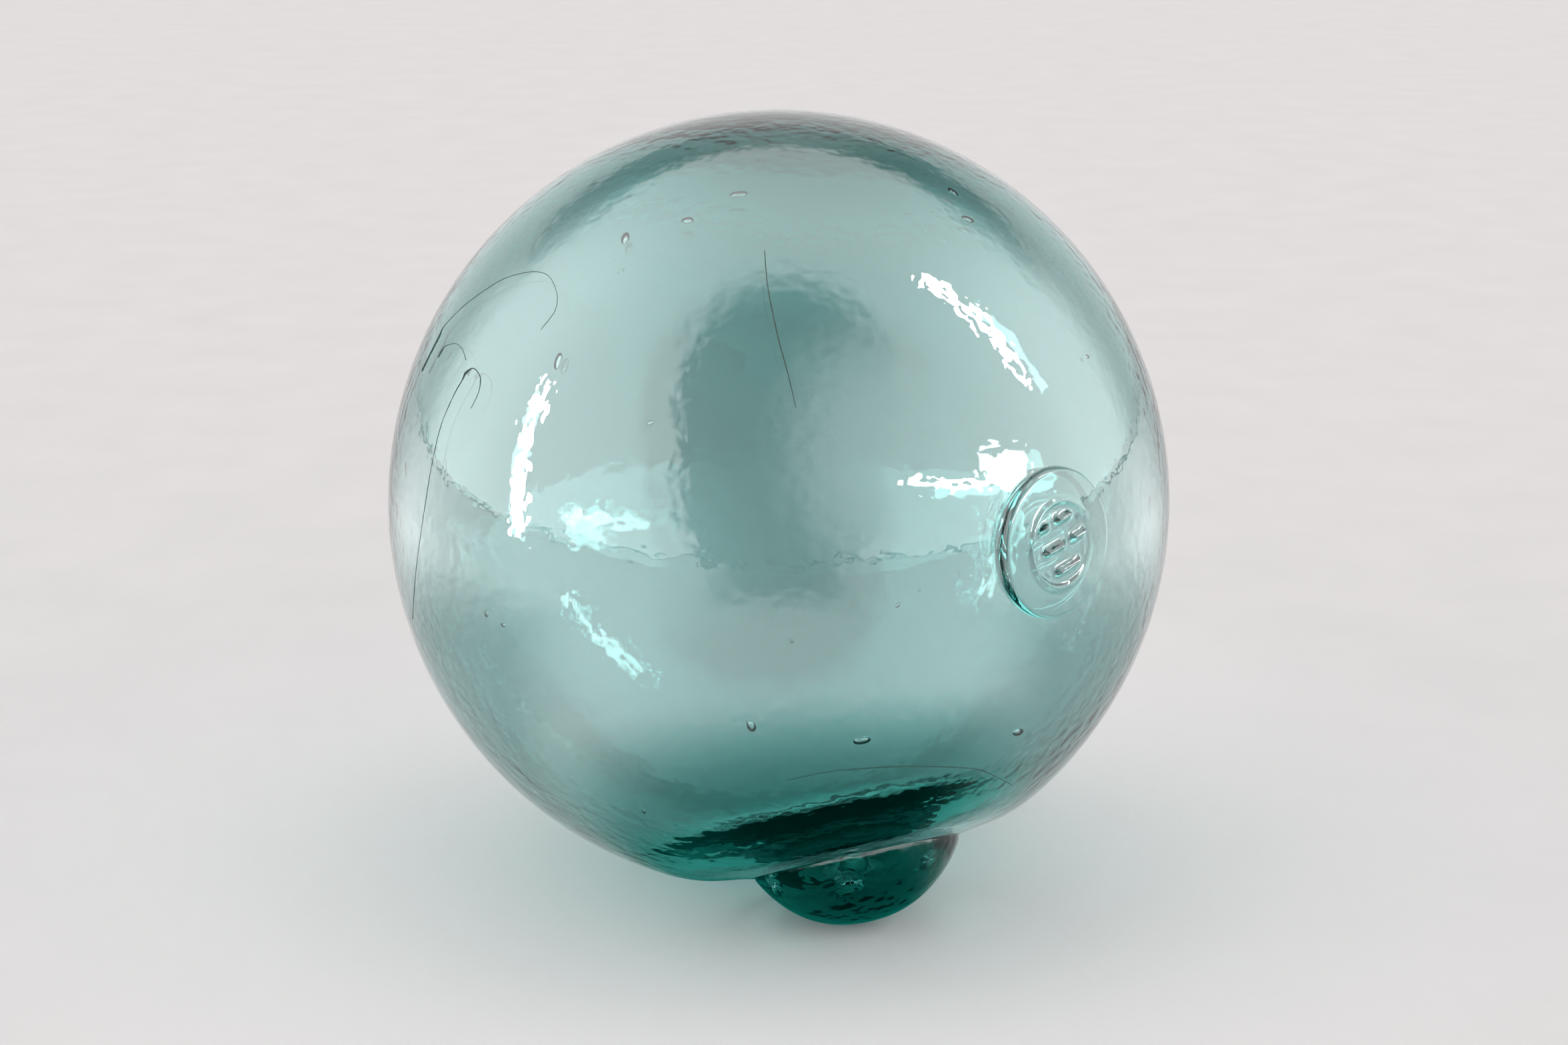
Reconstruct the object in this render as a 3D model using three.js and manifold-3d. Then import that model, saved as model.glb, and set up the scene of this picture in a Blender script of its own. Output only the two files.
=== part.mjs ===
// A glass net float: a blown ball closed by a seal button, with a stamped disc of glass on its side.
// Millimetres, Z up. The float lies on a small worn flat and on its button, which faces -Y, and the
// origin is on the ground under the ball's centre.

import * as THREE from 'three';
import { mergeVertices } from 'three/addons/utils/BufferGeometryUtils.js';
import Module from 'manifold-3d';

// Ball
const BALL_DIAMETER = 125;
const RESTING_FLAT_DIAMETER = 18;
const SAG_DEPTH = 1.7;
const SAG_WIDTH = 7;

// Seal button
const BUTTON_DIAMETER = 33;
const BUTTON_HEIGHT = 10;
const BUTTON_LIP = 1.1;
const BUTTON_FLAT_DEPTH = 0.5;
const BUTTON_TURN = THREE.MathUtils.degToRad(26);

// Stamped disc
const DISC_DIAMETER = 22;
const DISC_THICKNESS = 1.6;
const DISC_EDGE_WIDTH = 1.1;
const STAMP_DIAMETER = 11.8;
const STAMP_DEPTH = 0.4;
const STAMP_EDGE_WIDTH = 0.8;
const DISC_TURN = THREE.MathUtils.degToRad(39.5);
const DISC_RISE = THREE.MathUtils.degToRad(6.8);

// Clearance between touching pieces, and how finely the round shapes are faceted
const GAP = 0.3;
const BALL_SIDES = 72;
const BALL_RINGS = 36;
const SMALL_SIDES = 44;
const DOME_STEPS = 12;
const DISC_STEPS = 26;
const BACK_STEPS = 4;

const wasm = await Module();
wasm.setup();

// Sizes worked out from the values above
const ballRadius = BALL_DIAMETER / 2;
const centreHeight = Math.sqrt(ballRadius ** 2 - (RESTING_FLAT_DIAMETER / 2) ** 2);
const buttonRadius = BUTTON_DIAMETER / 2;
const seamAngle = Math.asin(buttonRadius / (ballRadius - SAG_DEPTH));
const seamDistance = buttonRadius / Math.tan(seamAngle);
const domeRadius = (buttonRadius ** 2 + BUTTON_HEIGHT ** 2) / (2 * BUTTON_HEIGHT);
const domeDistance = seamDistance + BUTTON_HEIGHT - domeRadius;

// The button leans so far from straight down that its dome is cut to its own small flat at the ground.
const buttonLean = Math.acos((centreHeight + BUTTON_FLAT_DEPTH - domeRadius) / domeDistance);

// How far the ball's wall has sagged below a true sphere at an angle from the button's axis: full
// depth under the button, and a soft step back to the sphere outside its edge.
function sag(angle) {
  const offset = Math.max(0, angle - seamAngle) * ballRadius / SAG_WIDTH;
  return SAG_DEPTH * Math.exp(-offset * offset);
}

// A geometry with only positions, its shared corners merged.
function weld(geometry) {
  geometry.deleteAttribute('normal');
  geometry.deleteAttribute('uv');
  return mergeVertices(geometry, 1e-4);
}

// A welded geometry as a solid, without its empty triangles.
function solidFrom(welded) {
  const corners = welded.index.array;
  const kept = [];
  for (let i = 0; i < corners.length; i += 3) {
    const [a, b, c] = corners.subarray(i, i + 3);
    if (a !== b && b !== c && c !== a) {
      kept.push(a, b, c);
    }
  }
  const vertProperties = Float32Array.from(welded.attributes.position.array);
  const triVerts = Uint32Array.from(kept);
  return new wasm.Manifold(new wasm.Mesh({ numProp: 3, vertProperties, triVerts }));
}

// A solid as a mesh geometry.
function geometryFrom(solid) {
  const mesh = solid.getMesh();
  const geometry = new THREE.BufferGeometry();
  geometry.setAttribute('position', new THREE.BufferAttribute(mesh.vertProperties, 3));
  geometry.setIndex(new THREE.BufferAttribute(mesh.triVerts, 1));
  geometry.computeVertexNormals();
  return geometry;
}

// A profile point at an angle from the axis, at a distance from the ball's centre.
function polar(angle, distance) {
  return new THREE.Vector2(distance * Math.sin(angle), distance * Math.cos(angle));
}

// Points of a profile from one end to the other, at even steps of a share from 0 to 1.
function profile(steps, pointAt) {
  return Array.from({ length: steps + 1 }, (_, i) => pointAt(i / steps));
}

// The blown ball about the button's axis, grown outwards by a margin. Its button end is at +Y.
function ballSolid(margin) {
  const outline = profile(BALL_RINGS, (share) => {
    const angle = Math.PI * (1 - share);
    return polar(angle, ballRadius + margin - sag(angle));
  });
  outline[0].x = 0;
  outline[BALL_RINGS].x = 0;
  return solidFrom(weld(new THREE.LatheGeometry(outline, BALL_SIDES)));
}

// The button as a lens with a rounded lip, still running into the ball.
function buttonSolid() {
  const domeAngle = Math.atan2(buttonRadius, domeRadius - BUTTON_HEIGHT);
  const dome = profile(DOME_STEPS, (share) => {
    const angle = domeAngle * (1 - share);
    const x = domeRadius * Math.sin(angle);
    return new THREE.Vector2(x, domeDistance + domeRadius * Math.cos(angle));
  });
  dome[DOME_STEPS].x = 0;
  const root = seamDistance - BUTTON_LIP;
  const outline = [new THREE.Vector2(0, root), new THREE.Vector2(buttonRadius - BUTTON_LIP, root), ...dome];
  return solidFrom(weld(new THREE.LatheGeometry(outline, SMALL_SIDES)));
}

// How high the disc stands above the ball's surface at a distance from its own axis: a flat wafer
// with a rounded edge, pressed in by a round stamp in its middle.
function discHeight(distance) {
  const fromEdge = Math.min(1, (DISC_DIAMETER / 2 - distance) / DISC_EDGE_WIDTH);
  const rounding = Math.sqrt(1 - (1 - fromEdge) ** 2);
  const pressed = THREE.MathUtils.smoothstep(STAMP_DIAMETER / 2 - distance, 0, STAMP_EDGE_WIDTH);
  return GAP + (DISC_THICKNESS - GAP) * rounding - STAMP_DEPTH * pressed;
}

// The disc about its own axis: its back follows the ball with a gap.
function discSolid() {
  const discRadius = DISC_DIAMETER / 2;
  const front = profile(DISC_STEPS, (share) => {
    const distance = discRadius * (1 - share);
    return polar(distance / ballRadius, ballRadius + discHeight(distance));
  });
  const back = profile(BACK_STEPS, (share) => polar(share * discRadius / ballRadius, ballRadius + GAP));
  const outline = [...back.slice(0, -1), ...front];
  outline[0].x = 0;
  outline[outline.length - 1].x = 0;
  return solidFrom(weld(new THREE.LatheGeometry(outline, SMALL_SIDES)));
}

// A group at the ball's centre whose +Y points outwards: turned right from -Y, risen above level.
function outwardGroup(turn, rise) {
  const level = Math.cos(rise);
  const outward = new THREE.Vector3(Math.sin(turn) * level, -Math.cos(turn) * level, Math.sin(rise));
  const right = new THREE.Vector3(Math.cos(turn), Math.sin(turn), 0);
  const third = new THREE.Vector3().crossVectors(right, outward);
  const group = new THREE.Group();
  group.quaternion.setFromRotationMatrix(new THREE.Matrix4().makeBasis(right, outward, third));
  group.position.set(0, 0, centreHeight);
  group.updateMatrixWorld(true);
  return group;
}

// A solid with what lies below the ground taken off, for a piece that stands in the given group.
function cutAtGround(solid, group) {
  const side = BALL_DIAMETER * 2;
  const block = new THREE.BoxGeometry(side, side, side);
  block.translate(0, 0, -side / 2);
  block.applyMatrix4(group.matrixWorld.clone().invert());
  return solid.subtract(solidFrom(weld(block)));
}

// A named piece of glass.
function piece(name, solid, material) {
  const mesh = new THREE.Mesh(geometryFrom(solid), material);
  mesh.name = name;
  return mesh;
}

const paleGlass = new THREE.MeshStandardMaterial({ color: 0xa5c3c0, roughness: 0.05, metalness: 0 });
const thickGlass = new THREE.MeshStandardMaterial({ color: 0x1f6f68, roughness: 0.08, metalness: 0 });
const stampedGlass = new THREE.MeshStandardMaterial({ color: 0x6fa9a3, roughness: 0.12, metalness: 0 });

const sealGroup = outwardGroup(BUTTON_TURN, buttonLean - Math.PI / 2);
sealGroup.add(piece('ball', cutAtGround(ballSolid(0), sealGroup), paleGlass));
const buttonOnBall = buttonSolid().subtract(ballSolid(GAP));
sealGroup.add(piece('seal_button', cutAtGround(buttonOnBall, sealGroup), thickGlass));

const discGroup = outwardGroup(DISC_TURN, DISC_RISE);
discGroup.add(piece('stamped_disc', discSolid(), stampedGlass));

const float = new THREE.Group();
float.add(sealGroup, discGroup);

export default float;
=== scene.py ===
"""A blown glass net float, lying on its seal button, in a pale studio.

The float is one fused body of soda-lime glass: a sealed hollow ball, a domed button of thick glass
that closes the blowpipe hole, and a small wafer of glass pressed on with a hand stamp. Lengths of
the float, the camera and the patterns are millimetres, those of the studio are metres, and angles
are degrees. Every mesh is in metres in the part's frame.
"""
import logging
import math
from dataclasses import dataclass, field
from enum import Enum

import bpy
import numpy as np
from mathutils import Matrix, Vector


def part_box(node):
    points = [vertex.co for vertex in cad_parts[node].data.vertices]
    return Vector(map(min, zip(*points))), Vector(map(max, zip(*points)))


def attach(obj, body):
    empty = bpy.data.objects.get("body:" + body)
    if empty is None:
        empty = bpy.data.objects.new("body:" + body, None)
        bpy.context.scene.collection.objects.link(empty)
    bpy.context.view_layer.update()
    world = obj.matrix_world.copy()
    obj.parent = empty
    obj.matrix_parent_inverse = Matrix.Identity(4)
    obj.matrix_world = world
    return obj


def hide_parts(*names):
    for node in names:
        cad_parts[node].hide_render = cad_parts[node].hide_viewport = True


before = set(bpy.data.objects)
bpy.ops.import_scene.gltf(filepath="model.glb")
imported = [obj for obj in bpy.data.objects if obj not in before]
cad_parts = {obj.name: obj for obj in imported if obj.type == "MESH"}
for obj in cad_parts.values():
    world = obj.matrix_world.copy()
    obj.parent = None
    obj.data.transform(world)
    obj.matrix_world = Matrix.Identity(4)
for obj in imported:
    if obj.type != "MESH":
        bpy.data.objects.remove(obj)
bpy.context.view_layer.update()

MM = 0.001
IMAGE_WIDTH = 2352
IMAGE_HEIGHT = 1568

# Where the light that the button gathers falls on the table, in metres.
UNDER_BUTTON = (0.014, -0.035, 0.0)

# The setting of a map range node that eases in and out.
SMOOTH = {"interpolation_type": "SMOOTHSTEP"}

log = logging.getLogger("glass_float")


def unit(vectors: np.ndarray) -> np.ndarray:
    """Vectors scaled to a length of one, along their last axis."""
    return vectors / np.linalg.norm(vectors, axis=-1, keepdims=True)


def outward(turn: float, rise: float) -> np.ndarray:
    """A unit direction: degrees to the right of the front, -Y, and degrees above level."""
    t, r = math.radians(turn), math.radians(rise)
    return np.array([math.sin(t) * math.cos(r), -math.cos(t) * math.cos(r), math.sin(r)])


def side_axes(axis: np.ndarray) -> tuple[np.ndarray, np.ndarray]:
    """Two unit directions square to an axis: a level one to its right, and one that leans up."""
    right = unit(np.cross(np.array([0.0, 0.0, 1.0]), axis))
    return right, np.cross(axis, right)


def about(axis: np.ndarray, east: np.ndarray, north: np.ndarray, tilt: np.ndarray,
          turn: np.ndarray) -> np.ndarray:
    """Directions at a tilt from an axis, turned about it from east towards north."""
    flat = np.cos(turn)[..., None] * east + np.sin(turn)[..., None] * north
    return np.cos(tilt)[..., None] * axis + np.sin(tilt)[..., None] * flat


def bell(distance: np.ndarray, width: float, power: float = 2.0) -> np.ndarray:
    """A smooth hump: one at no distance, and e to the minus one at the width."""
    return np.exp(-np.abs(distance / width) ** power)


def smooth_step(value: np.ndarray, low: float, high: float) -> np.ndarray:
    """Rises from 0 at low to 1 at high along a cubic, flat at both ends."""
    share = np.clip((value - low) / (high - low), 0.0, 1.0)
    return share * share * (3 - 2 * share)


def angle_from(axis: np.ndarray, directions: np.ndarray) -> np.ndarray:
    """The angle in radians between an axis and each direction."""
    return np.arccos(np.clip(directions @ axis, -1.0, 1.0))


def ease_from(count: int, gather: float) -> np.ndarray:
    """Shares from 0 to 1 that start close together: sinh of even steps, over its last value."""
    return np.sinh(gather * np.linspace(0.0, 1.0, count)) / math.sinh(gather)


def placement(right: np.ndarray, up: np.ndarray, back: np.ndarray, at: np.ndarray) -> Matrix:
    """The matrix of an object whose X, Y and Z point these ways and whose origin is at a point."""
    rows = np.eye(4)
    rows[:3] = np.stack([right, up, back, at], axis=1)
    return Matrix(rows.tolist())


@dataclass(frozen=True)
class Swells:
    """Slow swells over a ball: a few sine waves along random directions, at most height high.

    The pitch is how many radians of a wave go on one radius of the ball.
    """

    height: float
    seed: int
    pitch: float
    count: int = 6
    spread: tuple[float, float] = (0.7, 1.6)

    def over(self, directions: np.ndarray) -> np.ndarray:
        """The swell in each direction.

        Each wave is the sine of the distance along its own axis times the pitch and a random
        factor, from a random start. The waves are added up and divided by their number.

        Args:
            directions: unit directions from the ball's centre.

        Returns:
            Heights in millimetres, up or down.
        """
        draws = np.random.default_rng(self.seed)
        total = np.zeros(directions.shape[:-1])
        for _ in range(self.count):
            axis = unit(draws.normal(size=3))
            rate = self.pitch * draws.uniform(*self.spread)
            total += np.sin(directions @ axis * rate + draws.uniform(0, math.tau))
        return self.height * total / self.count


@dataclass(frozen=True)
class CameraSetup:
    """The photograph's viewpoint, from where the ball and its outline stand in the frame."""

    rise: float = 16.0
    distance: float = 408.0
    ball_centre_px: tuple[float, float] = (1168.0, 751.0)
    ball_radius_px: float = 588.0
    sensor_width: float = 36.0
    clip_start: float = 10.0

    def focal_px(self, ball_radius: float) -> float:
        """The focal length in pixels at which the ball's outline has its measured radius."""
        return self.ball_radius_px / math.tan(math.asin(ball_radius / (self.distance * MM)))

    def axes(self) -> tuple[np.ndarray, np.ndarray, np.ndarray]:
        """The directions from the ball to the camera, to the picture's right, and up in it."""
        back, right = outward(0.0, self.rise), np.array([1.0, 0.0, 0.0])
        return back, right, np.cross(back, right)

    def ray(self, px: np.ndarray, ball_radius: float) -> np.ndarray:
        """The directions in which the camera sees pixels.

        Args:
            px: pixels of the photograph, right and down.
            ball_radius: the ball's radius in metres.

        Returns:
            Unit directions.
        """
        back, right, up = self.axes()
        offset = (np.asarray(px, float) - np.array(self.ball_centre_px)) / self.focal_px(ball_radius)
        return unit(-back + offset[..., :1] * right - offset[..., 1:] * up)

    def on_ball(self, px: np.ndarray, centre: np.ndarray, ball_radius: float) -> np.ndarray:
        """Where pixels fall on the ball's front: the nearer crossing of each ray and the sphere.

        Args:
            px: pixels of the photograph, right and down.
            centre: the ball's centre.
            ball_radius: the ball's radius in metres.

        Returns:
            Unit directions from the ball's centre.
        """
        eye = centre + self.axes()[0] * self.distance * MM
        rays = self.ray(px, ball_radius)
        along = -(rays @ (eye - centre))
        miss = np.sum((eye - centre) ** 2) - along ** 2
        reach = along - np.sqrt(np.maximum(ball_radius ** 2 - miss, 0.0))
        return unit(eye + reach[..., None] * rays - centre)

    def build(self, centre: np.ndarray, ball_radius: float) -> bpy.types.Object:
        """Makes the camera.

        Args:
            centre: the ball's centre.
            ball_radius: the ball's radius in metres.

        Returns:
            The camera object, set as the scene's camera.
        """
        back, right, up = self.axes()
        focal = self.focal_px(ball_radius)
        reach = self.distance * MM
        shift_right = (IMAGE_WIDTH / 2 - self.ball_centre_px[0]) / focal * reach
        shift_down = (IMAGE_HEIGHT / 2 - self.ball_centre_px[1]) / focal * reach
        eye = centre + back * reach
        look = unit(centre + right * shift_right - up * shift_down - eye)
        side = unit(np.cross(look, np.array([0.0, 0.0, 1.0])))
        data = bpy.data.cameras.new("camera")
        data.sensor_width = self.sensor_width
        data.lens = self.sensor_width * focal / IMAGE_WIDTH
        data.clip_start = self.clip_start * MM
        camera = bpy.data.objects.new("camera", data)
        bpy.context.scene.collection.objects.link(camera)
        camera.matrix_world = placement(side, np.cross(side, look), -look, eye)
        bpy.context.scene.camera = camera
        return camera


@dataclass(frozen=True)
class ButtonForm:
    """The seal button: a dome of thick glass that meets the ball in a sharp seam."""

    diameter: float = 33.0
    height: float = 10.0
    flat_depth: float = 0.5
    turn: float = 26.0
    groove_depth: float = 0.3
    groove_width: float = 0.22
    dimples: Swells = Swells(0.5, 12, 22.0)

    def dome(self, seam_radius: float) -> tuple[float, float, float]:
        """Works out the dome as the sphere through the seam that stands its height above it.

        Args:
            seam_radius: metres from the ball's centre to the seam.

        Returns:
            The dome's radius, its centre's distance from the ball's, and the seam's angle.
        """
        half = self.diameter / 2 * MM
        seam = math.asin(half / seam_radius)
        radius = (half ** 2 + (self.height * MM) ** 2) / (2 * self.height * MM)
        return radius, seam_radius * math.cos(seam) + self.height * MM - radius, seam


@dataclass(frozen=True)
class DiscForm:
    """The stamped wafer: a flat disc with a rounded edge, pressed in by a round stamp.

    A pair of bar values is the one in the middle row and its change from row to row upwards.
    """

    diameter: float = 22.0
    thickness: float = 1.6
    tilt: float = 0.55
    edge_width: float = 0.9
    turn: float = 39.5
    rise: float = 6.8
    stamp_diameter: float = 11.8
    stamp_depth: float = 0.35
    stamp_edge_width: float = 0.4
    stamp_lean: float = 1.0
    stamp_lip: float = 0.4
    stamp_lip_width: float = 0.5
    stamp_lip_offset: float = 0.2
    row_spacing: float = 3.5
    slant: float = 14.0
    bar_width: float = 1.1
    bar_height: float = 1.0
    bar_pitch: tuple[float, float] = (5.4, -0.7)
    bar_offset: tuple[float, float] = (1.6, 1.7)
    bar_half_length: tuple[float, float] = (1.5, -0.4)
    bars_end: tuple[float, float] = (0.8, 1.6)

    def height(self, east: np.ndarray, north: np.ndarray) -> np.ndarray:
        """How far the disc stands off the ball.

        The edge is a quarter of an ellipse, thicker on the left. The stamp is a smooth step down
        inside it that was pressed deeper on the left too and raised a lip there.

        Args:
            east: metres to the right of the disc's axis, along its surface.
            north: metres above it.

        Returns:
            Heights in metres, zero outside the disc.
        """
        reach = np.hypot(east, north) / MM
        from_edge = np.clip((self.diameter / 2 - reach) / self.edge_width, 0.0, 1.0)
        thickness = self.thickness - self.tilt * east / MM / (self.diameter / 2)
        body = thickness * np.sqrt(1 - (1 - from_edge) ** 2)
        inside = self.stamp_diameter / 2 - reach
        pressed = self.stamp_depth * (1 - self.stamp_lean * east / MM / (self.stamp_diameter / 2))
        body -= pressed * smooth_step(inside, 0.0, self.stamp_edge_width)
        left = 0.5 - 0.5 * east / np.maximum(reach * MM, 1e-9)
        body += self.stamp_lip * left * bell(inside + self.stamp_lip_offset, self.stamp_lip_width)
        body += self.bars(east / MM, north / MM) * smooth_step(inside, *self.bars_end)
        return np.where(reach < self.diameter / 2, body, 0.0) * MM

    def bars(self, east: np.ndarray, north: np.ndarray) -> np.ndarray:
        """The marks: rows of short slanting bars with round ends, each a bell across its width.

        Args:
            east: millimetres to the right of the disc's axis.
            north: millimetres above it.

        Returns:
            Heights in millimetres.
        """
        lean = math.radians(self.slant)
        along = east * math.cos(lean) + north * math.sin(lean)
        across = north * math.cos(lean) - east * math.sin(lean)
        row = np.round(across / self.row_spacing)
        pitch, offset, half_length = (first + change * row for first, change in
                                      (self.bar_pitch, self.bar_offset, self.bar_half_length))
        place = along + offset
        from_middle = np.abs(place - np.round(place / pitch) * pitch)
        past_end = np.maximum(from_middle - half_length, 0.0)
        from_row = across - row * self.row_spacing
        return self.bar_height * bell(np.hypot(from_row, past_end), self.bar_width / 2)


@dataclass(frozen=True)
class WallForm:
    """The ball's wall: thin at its sides, thicker along the crown and towards the sealed hole."""

    side: float = 2.5
    crown: float = 3.9
    crown_rise: float = 74.0
    crown_aside: float = 5.0
    crown_across: float = 25.0
    crown_along: float = 105.0
    neck: float = 1.6
    neck_power: float = 9.0
    collar: float = 2.8
    collar_inner: float = 13.0
    collar_outer: float = 36.0
    collar_middle: float = 124.0
    collar_reach: float = 60.0
    collar_power: float = 4.0
    ripple: Swells = Swells(0.12, 9, 5.0)

    def thickness(self, directions: np.ndarray, button_axis: np.ndarray) -> np.ndarray:
        """The wall's thickness.

        The crown is a bell of the angle to its right or left times a wider bell of the angle to its
        front or back. Around the button it is a power of the squared cosine of half the angle, and
        above the button a lump with a smooth step at its edge, which fades to both sides.

        Args:
            directions: unit directions from the ball's centre.
            button_axis: the button's direction.

        Returns:
            The thickness in metres.
        """
        top = outward(180.0, self.crown_rise)
        front = outward(0.0, 90.0 - self.crown_rise)
        across = np.degrees(np.arcsin(np.clip(directions[..., 0], -1.0, 1.0)))
        along = np.degrees(np.arctan2(directions @ front, directions @ top))
        crown = self.crown * bell(across - self.crown_aside, self.crown_across)
        wall = self.side + crown * bell(along, self.crown_along)
        wall += self.neck * ((1 + directions @ button_axis) / 2) ** self.neck_power
        east, north = side_axes(button_axis)
        turn = np.degrees(np.arctan2(directions @ north, directions @ east)) - self.collar_middle
        turn = (turn + 180.0) % 360.0 - 180.0
        from_button = np.degrees(angle_from(button_axis, directions))
        lump = self.collar * bell(turn, self.collar_reach, self.collar_power)
        wall += lump * (1 - smooth_step(from_button, self.collar_inner, self.collar_outer))
        return (wall + self.ripple.over(directions)) * MM


@dataclass(frozen=True)
class FloatForm:
    """The whole float's outer and inner surface, as distances from the ball's centre.

    The radius and the height of the centre come from the frame, in metres.
    """

    radius: float
    centre_height: float
    sag_depth: float = 1.7
    sag_width: float = 7.0
    swells: Swells = Swells(0.12, 4, 4.0)
    button: ButtonForm = field(default_factory=ButtonForm)
    disc: DiscForm = field(default_factory=DiscForm)
    wall: WallForm = field(default_factory=WallForm)

    @property
    def centre(self) -> np.ndarray:
        """The ball's centre."""
        return np.array([0.0, 0.0, self.centre_height])

    @property
    def dome(self) -> tuple[float, float, float]:
        """The dome's radius, its centre's distance from the ball's, and the seam's angle."""
        return self.button.dome(self.radius - self.sag_depth * MM)

    @property
    def button_axis(self) -> np.ndarray:
        """The button's direction, at the lean that sets its dome on its own small flat."""
        radius, distance, _ = self.dome
        lean = math.acos((self.centre_height + self.button.flat_depth * MM - radius) / distance)
        return outward(self.button.turn, math.degrees(lean) - 90.0)

    @property
    def disc_axis(self) -> np.ndarray:
        """The disc's direction."""
        return outward(self.disc.turn, self.disc.rise)

    def bare_ball(self, directions: np.ndarray) -> np.ndarray:
        """The blown ball: a sphere with slow swells, sagged under the button and just outside it.

        Args:
            directions: unit directions from the ball's centre.

        Returns:
            Distances in metres.
        """
        outside = np.maximum(angle_from(self.button_axis, directions) - self.dome[2], 0.0)
        sag = self.sag_depth * bell(outside * self.radius / MM, self.sag_width)
        swell = self.swells.height - self.swells.over(directions)
        return self.radius - (sag + swell) * MM

    def outer(self, directions: np.ndarray) -> np.ndarray:
        """The outside: the higher of ball and dome, a groove at their seam, and the disc's relief.

        The dome's distance solves the triangle between its centre, the ball's centre and the skin.
        What would reach below the ground is brought back to it along its own direction.

        Args:
            directions: unit directions from the ball's centre.

        Returns:
            Distances in metres.
        """
        angle = angle_from(self.button_axis, directions)
        radius, offset, seam = self.dome
        inside = radius ** 2 - (offset * np.sin(angle)) ** 2
        dome = offset * np.cos(angle) + np.sqrt(np.maximum(inside, 0.0))
        dome = np.where((inside > 0) & (angle < math.pi / 2), dome, 0.0)
        dome -= self.button.dimples.over(directions) * MM * (dome > 0)
        distance = np.maximum(self.bare_ball(directions), dome)
        groove = bell((angle - seam) * self.radius / MM, self.button.groove_width)
        distance = distance - self.button.groove_depth * groove * MM
        reach = angle_from(self.disc_axis, directions) * self.radius
        right, up = side_axes(self.disc_axis)
        flat = directions - (directions @ self.disc_axis)[..., None] * self.disc_axis
        flat = flat / np.maximum(np.linalg.norm(flat, axis=-1, keepdims=True), 1e-9)
        distance = distance + self.disc.height(reach * (flat @ right), reach * (flat @ up))
        down = np.maximum(-directions[..., 2], 1e-6)
        return np.minimum(distance, self.centre_height / down)

    def inner(self, directions: np.ndarray) -> np.ndarray:
        """The inside: the ball's sphere less the wall."""
        return self.radius - self.wall.thickness(directions, self.button_axis)


@dataclass(frozen=True)
class TwinPoleGrid:
    """Rings and columns over a ball, with one pole in the button and the other in the disc.

    Around each pole the rings are true circles about its axis. Between the two outermost circles
    the rings follow the family of circles that turns one into the other: in the flat picture of
    the ball seen from the far pole, a change of variable w = (z - k) / (1 - k z) makes both circles
    concentric, and even steps of log w and of its angle make the grid.
    """

    columns: int = 288
    dome_rings: int = 44
    trough_rings: int = 18
    between_rings: int = 126
    shoulder_rings: int = 12
    disc_rings: int = 70
    button_reach: float = 25.0
    disc_reach: float = 13.5
    dome_gather: float = 2.6
    edge_gather: float = 3.0

    def directions(self, form: FloatForm) -> np.ndarray:
        """The grid's unit directions.

        Args:
            form: the float whose axes and seam the grid follows.

        Returns:
            An array of rings by columns by three, from the button's pole to the disc's.
        """
        pole, other = form.button_axis, form.disc_axis
        apart = math.acos(float(pole @ other))
        near, far = math.radians(self.button_reach), math.radians(self.disc_reach)
        east = unit(other - math.cos(apart) * pole)
        north = np.cross(pole, east)
        tilt, turn = self.circles(apart, near, far)
        between = about(pole, east, north, tilt, turn)
        seam = form.dome[2]
        inward = seam * (1 - ease_from(self.dome_rings + 1, self.dome_gather))[::-1][1:]
        outwards = (seam + (near - seam) * ease_from(self.trough_rings + 1, self.edge_gather))[1:-1]
        button = about(pole, east, north, np.concatenate([inward, outwards])[:, None], turn[:1])
        east, north = side_axes(other)
        around = np.arctan2(between[-1] @ north, between[-1] @ east)
        rim = form.disc.diameter / 2 * MM / form.radius
        shoulder = (rim + (far - rim) * ease_from(self.shoulder_rings + 1, self.edge_gather))[::-1][1:]
        within = np.linspace(rim, 0.0, self.disc_rings + 1)[1:-1]
        disc = about(other, east, north, np.concatenate([shoulder, within])[:, None], around[None])
        return np.concatenate([button, between, disc])

    def circles(self, apart: float, near: float, far: float) -> tuple[np.ndarray, np.ndarray]:
        """The rings between the two outermost circles.

        Args:
            apart: the angle in radians between the two poles.
            near: the angle from the button's pole to the circle around it.
            far: the angle from the disc's pole to the circle around it.

        Returns:
            Each point's tilt from the button's pole, and its turn about it.
        """
        size = math.tan(near / 2)
        low = math.tan((apart - far) / 2) / size
        high = math.tan((apart + far) / 2) / size
        middle = (1 + low * high) / (low + high)
        k = middle - math.sqrt(middle ** 2 - 1)
        last = math.log(abs((high - k) / (1 - k * high)))
        angles = np.arange(self.columns) * math.tau / self.columns
        steps = np.linspace(0.0, last, self.between_rings)
        w = np.exp(steps[:, None] + 1j * angles[None, :])
        z = (w + k) / (1 + k * w)
        return 2 * np.arctan(size * np.abs(z)), np.angle(z)


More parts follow.
